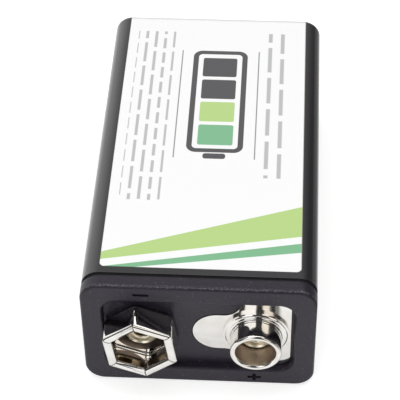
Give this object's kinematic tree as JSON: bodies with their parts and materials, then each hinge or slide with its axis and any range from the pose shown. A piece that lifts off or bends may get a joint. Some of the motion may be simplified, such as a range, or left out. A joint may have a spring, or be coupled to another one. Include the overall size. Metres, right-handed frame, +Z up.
{
  "type": "nine volt snap-terminal battery",
  "caption": "Flat-sided rechargeable block battery with a hexagonal snap socket and a round snap stud side by side in its end cap.",
  "frame": {"origin": "under the middle of the whole battery, terminals included, on the plane it lies on", "axes": "+X towards the positive stud's side, +Y along the body away from the terminals, +Z up out of the label's front face"},
  "size_m": [0.0258, 0.0484, 0.0157],
  "materials": {
    "cap_plastic": "fine textured matt black moulding",
    "case_plastic": "smooth matt black moulding",
    "label_film": "glossy black printed film with a white panel on the front",
    "contact_nickel": "bright nickel-plated steel sheet",
    "rivet_metal": "bright plated brass",
    "lead_nickel": "plain nickel strip",
    "cell_steel": "satin nickel-plated can",
    "board_fibre": "pressed fibre board",
    "pad_foam": "soft foam",
    "sleeve_film": "thin shrink tube"
  },
  "bodies": {
    "root": {"case": "case_plastic", "end_cap": "cap_plastic", "label_sleeve": "label_film", "positive_plate": "contact_nickel", "positive_stud": "contact_nickel", "positive_rivet": "rivet_metal", "negative_socket": "contact_nickel", "negative_rivet": "rivet_metal", "terminal_board": "board_fibre", "positive_lead": "lead_nickel", "negative_lead": "lead_nickel", "top_card": "board_fibre", "bottom_pad": "pad_foam", "stack_sleeve": "sleeve_film", "cell_1": "cell_steel", "cell_2": "cell_steel", "cell_3": "cell_steel", "cell_4": "cell_steel", "cell_5": "cell_steel", "cell_6": "cell_steel", "cell_7": "cell_steel", "cell_tab_1": "lead_nickel", "cell_tab_2": "lead_nickel", "cell_tab_3": "lead_nickel", "cell_tab_4": "lead_nickel", "cell_tab_5": "lead_nickel", "cell_tab_6": "lead_nickel"}
  },
  "joints": []
}
